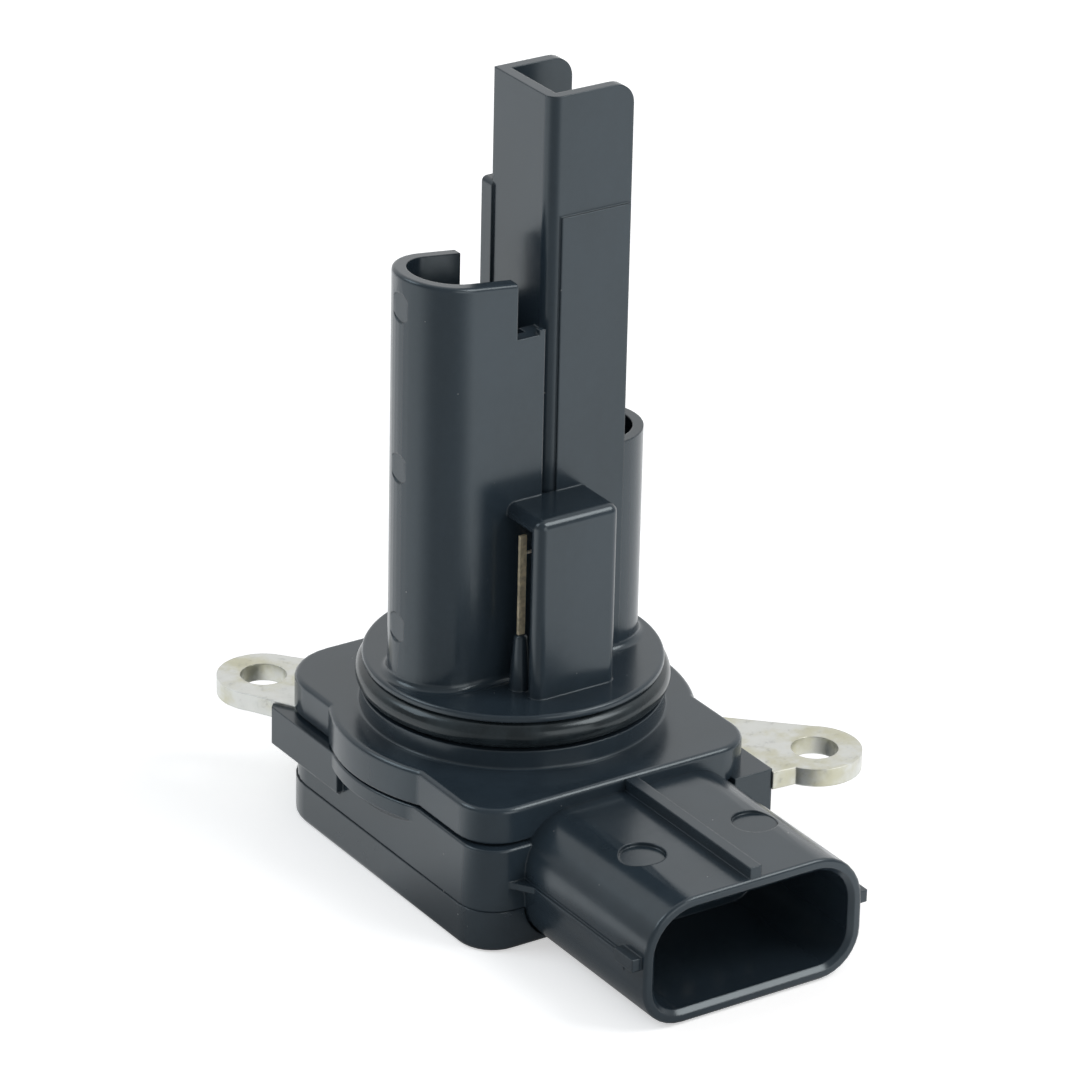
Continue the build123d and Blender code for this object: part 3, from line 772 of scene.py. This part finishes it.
def socket(case):
    """Connector with its rib, rails, gussets, catches, dimples and mouth."""
    x, front, top = case.socket_x, case.socket_front, case.socket_top
    section = socket_section(case)
    rib_half, rib_height, rib_back, back, front_edge = 0.6, 1.1, -18.2, -17.4, 0.35
    parts = [prism(section, front, back, ALONG_Y, low=front_edge)]
    parts.append(block(x - rib_half, x + rib_half, front + SINK, rib_back, top - SINK, top + rib_height))
    for side in (-1, 1):
        parts += socket_side(case, side)
    dimple_x, dimple_y, dimple_r, dimple_depth = 6.0, -29.0, 2.1, 0.35
    dimples = [disc(x + side * dimple_x, dimple_y, dimple_r, 48) for side in (-1, 1)]
    cuts = [prism(dimple, top - dimple_depth, BEYOND) for dimple in dimples]
    wall, flared_wall, flare, depth = 1.25, 0.8, 0.45, 14.0
    stations = [(flared_wall, front - SINK / 2), (flared_wall, front)]
    stations += [(wall, front + flare), (wall, front + depth)]
    mouth = solid([[(u, v, y) for u, v in section(inset)] for inset, y in stations], ALONG_Y)
    return carved(parts, [*cuts, mouth])


def case_solid(probe, case):
    """Moulded case with its collar, bosses, connector and the chamber for the circuit board."""
    wall, front_wall, front_r, back_r = 1.6, 3.2, 2.4, 3.9
    x = case.width / 2 - wall
    radii = (front_r, front_r, back_r, back_r)
    chamber = rectangle(-x, x, case.front + front_wall, case.back - wall, radii)
    chamber = prism(chamber, case.split - 1.3, case.chamber_top)
    x0, x1, y0, y1 = PIN_BLOCK
    room, low = PIN_BLOCK_ROOM, case.chamber_top - SINK / 2
    pin_hole = block(x0 - room, x1 + room, y0 - room, y1 + room, low, 0)
    return carved([*case_body(probe, case), *bosses(case), socket(case)], [chamber, pin_hole])


def cover(case):
    """Tray that closes the case from below, cut out for the connector."""
    overhang, floor, wall, front_wall, edge = 0.1, 1.5, 2.3, 4.0, 0.6
    body = prism(case_plan(case, overhang), case.base, case.split, low=edge)
    x, front_r, back_r = case.width / 2 - wall, 2.0, 3.0
    tray = rectangle(-x, x, case.front + front_wall, case.back - wall, (front_r, front_r, back_r, back_r))
    room, notch_depth, section = 0.15, 1.7, socket_section(case)
    notch = prism(lambda inset: section(-room), case.socket_front, case.front + notch_depth, ALONG_Y)
    return carved([body], [prism(tray, case.base + floor, 0), notch])


def adhesive_bead(case):
    """Bead of adhesive between the cover's rim and the case."""
    width, height, margin, front_margin, front_r, back_r = 0.8, 0.7, 0.4, 2.0, 2.4, 5.0
    x, radii = case.width / 2 - margin, (front_r, front_r, back_r, back_r)
    plan = rectangle(-x, x, case.front + front_margin, case.back - margin, radii)
    inner = prism(lambda inset: plan(width), case.split - 1, 0)
    return carved([prism(plan, case.split - height, case.split)], [inner])


def ring(seal):
    """Rubber ring in the neck's groove."""
    steps = 128
    turns = [math.radians(360 * k / steps) for k in range(steps)]
    section = disc(seal.ring_radius, seal.ring_height, seal.ring_section / 2, 32)(0)
    points = [(r * math.cos(t), r * math.sin(t), z) for t in turns for r, z in section]
    n = len(section)
    faces = []
    for turn in range(steps):
        here, there = turn * n, (turn + 1) % steps * n
        for k in range(n):
            after = (k + 1) % n
            faces.append((here + k, there + k, there + after, here + after))
    return linked_body(points, faces)


class SENSOR_OT_probe(bpy.types.Operator):
    """Moulded probe body"""
    bl_idname = "sensor.probe"
    bl_label = "Probe body"

    def execute(self, context):
        material = moulded_plastic("probe_plastic", context.scene.sensor_plastic)
        body = housing(*lengths(context, "probe", "seal", "case"))
        finished_piece(body, "probe_body", material, "main_housing")
        return {"FINISHED"}


class SENSOR_OT_case(bpy.types.Operator):
    """Connector case and its cover"""
    bl_idname = "sensor.case"
    bl_label = "Case and cover"

    def execute(self, context):
        settings = context.scene.sensor_plastic
        probe, case = lengths(context, "probe", "case")
        # The case takes a slightly darker copy of the probe's plastic: painted shade on the lower parts
        material = moulded_plastic("case_plastic", settings, 0.92)
        finished_piece(case_solid(probe, case), "case_body", material, "connector_case")
        # The cover takes a still darker copy of the same plastic: painted shade
        material = moulded_plastic("cover_plastic", settings, 0.85, -0.04)
        finished_piece(cover(case), "cover_body", material, "back_cover")
        return {"FINISHED"}


class SENSOR_OT_plate(bpy.types.Operator):
    """Finish of the metal plate with the screw ears"""
    bl_idname = "sensor.plate"
    bl_label = "Metal plate"

    def execute(self, context):
        dress(plated_steel(context.scene.sensor_metal), "mounting_plate")
        return {"FINISHED"}


class SENSOR_OT_seals(bpy.types.Operator):
    """Rubber ring, adhesive and resin"""
    bl_idname = "sensor.seals"
    bl_label = "Seals"

    def execute(self, context):
        settings = context.scene.sensor_seal
        seal, case = lengths(context, "seal", "case")
        rubber = soft_black("seal_rubber", settings.rubber, settings.lint, settings.roughness, 0.3 * MM)
        finished_piece(ring(seal), "seal_ring", rubber, "o_ring")
        silicone = soft_black("silicone", settings.adhesive, settings.lint, 0.45, 0.5 * MM)
        finished_piece(adhesive_bead(case), "adhesive_bead", silicone, "cover_adhesive")
        dress(soft_black("potting_resin", settings.resin, settings.lint, 0.2, 0.8 * MM), "pin_resin")
        return {"FINISHED"}


class SENSOR_OT_leads(bpy.types.Operator):
    """Leads, support pins and terminals"""
    bl_idname = "sensor.leads"
    bl_label = "Leads and terminals"

    def execute(self, context):
        settings = context.scene.sensor_metal
        leads = [f"thermistor_lead_{n}" for n in (1, 2)]
        pins = [f"{kind}_pin_{n}" for kind in ("heater", "reference") for n in (1, 2)]
        dress(drawn_metal("golden_lead", settings.lead, 0.34, 0.5), *leads)
        dress(drawn_metal("plated_pin", settings.pin, 0.3), *pins)
        tinned = drawn_metal("terminal_metal", settings.terminal, 0.32)
        case = lengths(context, "case")[0]
        half_width, inner, low, high = 0.5, -11.6, -7.92, -7.28
        for n in range(1, 6):
            x = case.socket_x + (n - 3) * case.terminal_pitch
            bar = block(x - half_width, x + half_width, case.terminal_tip, inner, low, high)
            finished_piece(bar, f"terminal_{n}", tinned, f"connector_terminal_{n}")
        return {"FINISHED"}


class SENSOR_OT_circuit(bpy.types.Operator):
    """Finishes of the circuit board, its parts and the sensing elements"""
    bl_idname = "sensor.circuit"
    bl_label = "Circuit"

    def execute(self, context):
        settings = context.scene.sensor_circuit
        dress(printed_board(settings), "circuit_board")
        dress(fired_body("chip_moulding", settings.chip, 0.5), "signal_chip", "power_transistor")
        ceramics = ("capacitor_1", "capacitor_2", "chip_resistors")
        dress(fired_body("fired_ceramic", settings.ceramic, 0.4), *ceramics)
        elements = ("heater_element", "reference_element", "thermistor_bead")
        dress(fired_body("glazed_element", settings.element, 0.25), *elements)
        return {"FINISHED"}


def add_lamp(name, place, size, power, colour):
    """A square soft lamp at a place, turned to the part."""
    data = bpy.data.lights.new(name, "AREA")
    data.size = size
    data.energy = power
    data.color = colour
    lamp = bpy.data.objects.new(name, data)
    bpy.context.scene.collection.objects.link(lamp)
    lamp.location = place
    lamp.rotation_euler = (Vector(LAMP_AIM) - Vector(place)).to_track_quat("-Z", "Y").to_euler()


class Backdrop(Graph):
    """Node graph of the world or of the floor, with what both need."""

    def __init__(self, tree):
        super().__init__(tree)
        self.path = self.add("ShaderNodeLightPath").outputs

    def seen(self):
        """1 for rays that show the background: camera, mirror and glass rays."""
        mirrored = self.math("MAXIMUM", self.path["Is Glossy Ray"], self.path["Is Transmission Ray"])
        return self.math("MAXIMUM", self.path["Is Camera Ray"], mirrored)

    def towards(self, vector, direction, low, high, to_low, to_high):
        """A smooth step by how much a vector points in a direction."""
        unit = self.add("ShaderNodeVectorMath", {0: vector}, operation="NORMALIZE").outputs["Vector"]
        return self.span(self.dot(unit, direction), low, high, to_low, to_high)

    def mirrored(self, level):
        """A level for mirror rays, and 1 for all others."""
        fall = self.math("SUBTRACT", 1.0, level)
        return self.math("SUBTRACT", 1.0, self.math("MULTIPLY", self.path["Is Glossy Ray"], fall))


def light_world(settings):
    """White to the camera, softer as a light, and mirrored as a room with a window at the back right."""
    world = bpy.data.worlds.new("white_room")
    bpy.context.scene.world = world
    world.use_nodes = True
    room = Backdrop(world.node_tree)
    direction = room.add("ShaderNodeTexCoord").outputs["Generated"]
    wall = room.towards(direction, WINDOW_SIDE, 0.0, 0.9, settings.wall_mirror, 1.0)
    level = room.add("ShaderNodeMapRange", {"Value": room.seen(), "To Min": settings.ambient}).outputs[0]
    level = room.math("MULTIPLY", level, room.mirrored(wall))
    background = room.add("ShaderNodeBackground", {"Color": (1, 1, 1, 1), "Strength": level})
    room.add("ShaderNodeOutputWorld", {"Surface": background.outputs[0]})


def lay_floor(settings, height):
    """Large pale floor that keeps the part's shadow; its near side is mirrored darker."""
    half = 3.0
    corners = [(-half, -half, height), (half, -half, height), (half, half, height), (-half, half, height)]
    floor = linked_body(corners, [(0, 1, 2, 3)])
    floor.name = floor.data.name = "floor"
    material = bpy.data.materials.new("pale_floor")
    material.use_nodes = True
    ground = Backdrop(material.node_tree)
    place = ground.add("ShaderNodeTexCoord").outputs["Object"]
    flat = {0: place, 1: (1, 1, 0)}
    place = ground.add("ShaderNodeVectorMath", flat, operation="MULTIPLY").outputs["Vector"]
    level = ground.mirrored(ground.towards(place, FLOOR_FRONT, 0.5, 0.98, 1.0, settings.floor_mirror))
    scaled = {0: settings.floor, "Scale": level}
    tone = ground.add("ShaderNodeVectorMath", scaled, operation="SCALE").outputs["Vector"]
    diffuse = ground.add("ShaderNodeBsdfDiffuse", {"Color": tone})
    glow = ground.math("MULTIPLY", ground.math("MULTIPLY", ground.seen(), settings.floor_glow), level)
    glow = ground.add("ShaderNodeEmission", {"Strength": glow})
    both = ground.add("ShaderNodeAddShader", {0: diffuse.outputs[0], 1: glow.outputs[0]})
    ground.add("ShaderNodeOutputMaterial", {"Surface": both.outputs[0]})
    floor.data.materials.append(material)


def place_camera(settings):
    """Camera at the photograph's angle, placed by its distance and by where the origin falls."""
    az, el = settings.azimuth, settings.elevation
    back = Vector((math.sin(az) * math.cos(el), -math.cos(az) * math.cos(el), math.sin(el)))
    right = Vector((math.cos(az), math.sin(az), 0))
    up = back.cross(right)
    c, s = math.cos(settings.roll), math.sin(settings.roll)
    right, up = c * right + s * up, c * up - s * right
    data = bpy.data.cameras.new("camera")
    data.lens = settings.lens
    data.sensor_width = 36
    data.clip_start = 0.01
    camera = bpy.data.objects.new("camera", data)
    bpy.context.scene.collection.objects.link(camera)
    turn = Matrix((right, up, back)).transposed().to_4x4()
    place = back * settings.distance - right * settings.right - up * settings.up
    camera.matrix_world = Matrix.Translation(place) @ turn
    bpy.context.scene.camera = camera


class SENSOR_OT_stage(bpy.types.Operator):
    """Floor, lamps, world and camera"""
    bl_idname = "sensor.stage"
    bl_label = "Stage"

    def execute(self, context):
        settings = context.scene.sensor_stage
        place_camera(settings)
        light_world(settings)
        lay_floor(settings, cad_box[0][2])
        for lamp in LAMPS:
            add_lamp(*lamp)
        context.scene.view_settings.view_transform = "Standard"
        return {"FINISHED"}


PIECES = (
    SENSOR_OT_probe,
    SENSOR_OT_case,
    SENSOR_OT_plate,
    SENSOR_OT_seals,
    SENSOR_OT_leads,
    SENSOR_OT_circuit,
    SENSOR_OT_stage,
)


class SENSOR_PT_panel(bpy.types.Panel):
    """Lists the sensor's operators"""
    bl_label = "Airflow sensor"
    bl_idname = "SENSOR_PT_panel"
    bl_space_type = "VIEW_3D"
    bl_region_type = "UI"
    bl_category = "Sensor"

    def draw(self, context):
        for piece in PIECES:
            self.layout.operator(piece.bl_idname)


SETTINGS = {
    "sensor_probe": ProbeSettings,
    "sensor_case": CaseSettings,
    "sensor_plastic": PlasticSettings,
    "sensor_metal": MetalSettings,
    "sensor_seal": SealSettings,
    "sensor_circuit": CircuitSettings,
    "sensor_stage": StageSettings,
}


def register():
    for group in SETTINGS.values():
        bpy.utils.register_class(group)
    for name, group in SETTINGS.items():
        setattr(bpy.types.Scene, name, PointerProperty(type=group))
    for piece in (*PIECES, SENSOR_PT_panel):
        bpy.utils.register_class(piece)


def unregister():
    for piece in (SENSOR_PT_panel, *reversed(PIECES)):
        bpy.utils.unregister_class(piece)
    for name, group in SETTINGS.items():
        delattr(bpy.types.Scene, name)
        bpy.utils.unregister_class(group)


def main():
    register()
    bpy.ops.sensor.probe()
    bpy.ops.sensor.case()
    bpy.ops.sensor.plate()
    bpy.ops.sensor.seals()
    bpy.ops.sensor.leads()
    bpy.ops.sensor.circuit()
    bpy.ops.sensor.stage()


if __name__ == "__main__":
    main()
